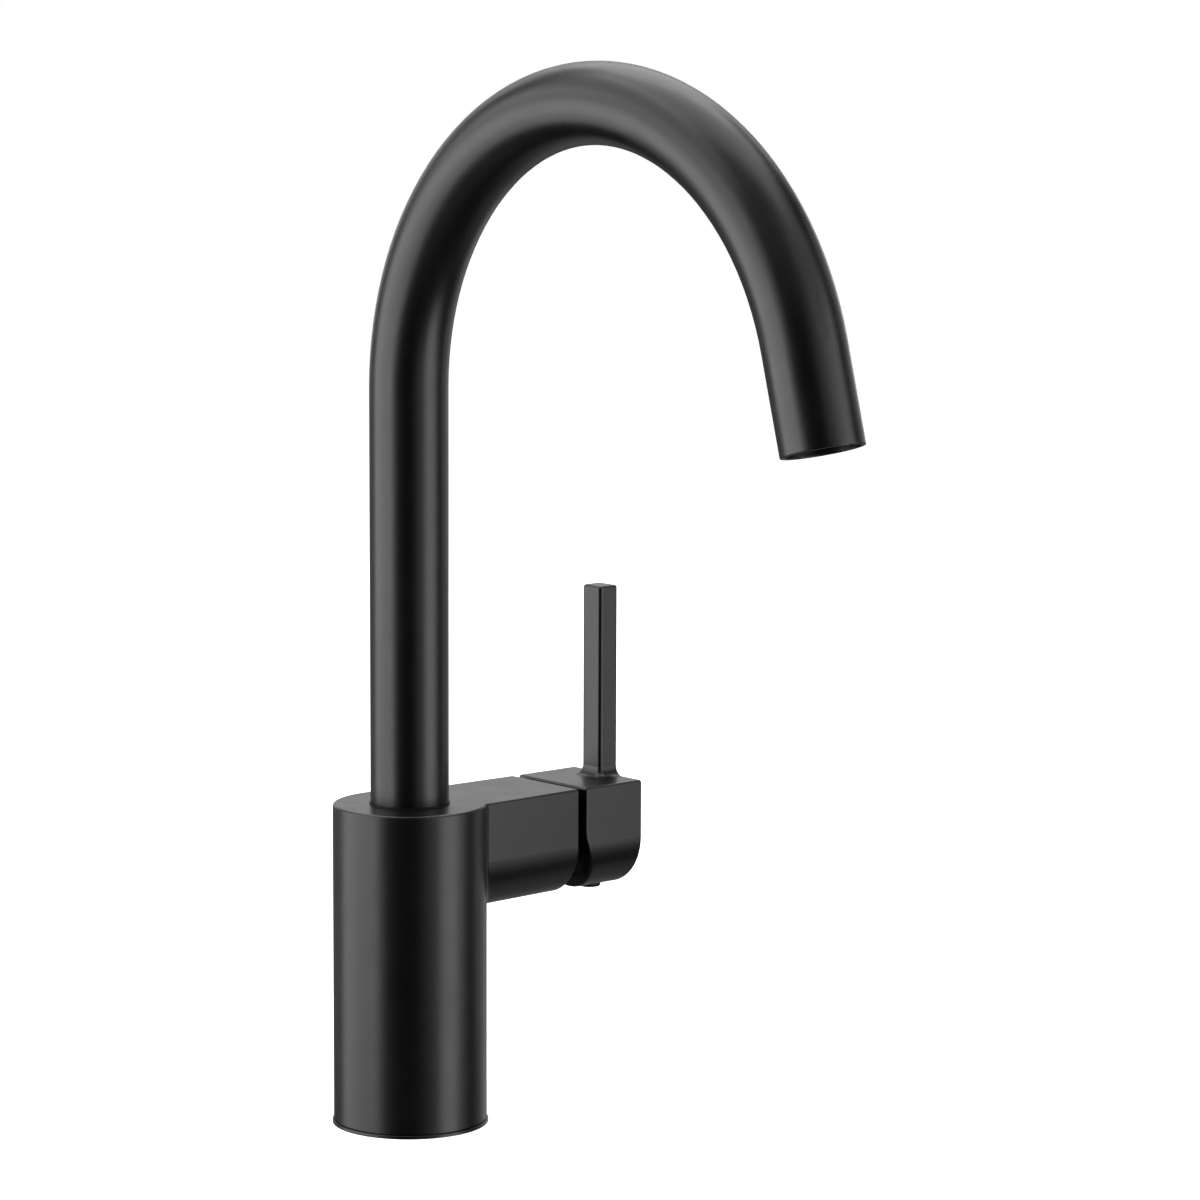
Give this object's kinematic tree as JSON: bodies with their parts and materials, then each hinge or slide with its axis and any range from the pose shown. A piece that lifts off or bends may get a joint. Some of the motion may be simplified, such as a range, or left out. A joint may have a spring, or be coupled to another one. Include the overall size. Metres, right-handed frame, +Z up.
{
  "type": "kitchen faucet",
  "caption": "High-arc kitchen faucet with an upright cylindrical body, a swivelling gooseneck spout and a single side lever that tilts for flow and turns for temperature.",
  "frame": {"origin": "centre of the base on the deck surface, on the spout's swivel axis", "axes": "+Z up along the spout's riser, -Y to the front where the spout reaches over the basin, +X to the user's right where the handle is"},
  "size_m": [0.1234, 0.2517, 0.4425],
  "materials": {
    "black_finish": "matte black coating",
    "black_plastic": "black moulded plastic",
    "pale_plastic": "pale acetal",
    "brass": "machined brass",
    "steel": "machined stainless steel",
    "rubber": "black rubber",
    "valve_ceramic": "lapped ceramic"
  },
  "bodies": {
    "body": {"body_casting": "black_finish", "base_ring": "black_finish", "base_gasket": "rubber", "mounting_shank": "brass", "deck_friction_washer": "rubber", "clamp_washer": "steel", "mounting_nut": "brass", "jack_screws": "steel", "spout_upper_bushing": "black_plastic", "spout_lower_bushing": "pale_plastic", "spout_snap_ring": "steel", "cartridge_seals": "rubber", "cartridge_base": "pale_plastic", "fixed_disc": "valve_ceramic", "cartridge_housing": "pale_plastic", "retaining_nut": "brass", "bonnet": "black_plastic"},
    "spout": {"spout_tube": "black_finish", "spout_stub": "brass", "spout_o_rings": "rubber", "aerator_collar": "black_plastic", "aerator_housing": "black_plastic", "aerator_core": "pale_plastic", "aerator_screen": "steel", "flow_restrictor": "pale_plastic", "aerator_gasket": "rubber"},
    "rotor": {"temperature_rotor": "brass", "pivot_pin": "steel"},
    "disc": {"moving_disc": "valve_ceramic", "disc_carrier": "pale_plastic"},
    "lever": {"lever_handle": "black_finish", "stem": "steel", "set_screw": "steel", "plug_button": "black_plastic"}
  },
  "joints": [
    {"name": "spout_swivel", "type": "hinge", "parent": "body", "child": "spout", "pos_m": [0, 0, 0.1], "axis": [0, 0, 1], "continuous": true},
    {"name": "handle_temperature", "type": "hinge", "parent": "body", "child": "rotor", "pos_m": [0.05, 0, 0.09475], "axis": [1, 0, 0], "range_deg": [-45, 45]},
    {"name": "handle_flow", "type": "hinge", "parent": "rotor", "child": "lever", "pos_m": [0.05, 0, 0.09475], "axis": [0, 1, 0], "range_deg": [0, 22]},
    {"name": "disc_slide", "type": "slide", "parent": "rotor", "child": "disc", "axis": [0, 0, 1], "range_m": [0, 0.0031]}
  ],
  "couplings": [
    {"joint": "disc_slide", "follows": "handle_flow", "m_per_rad": 0.008}
  ]
}
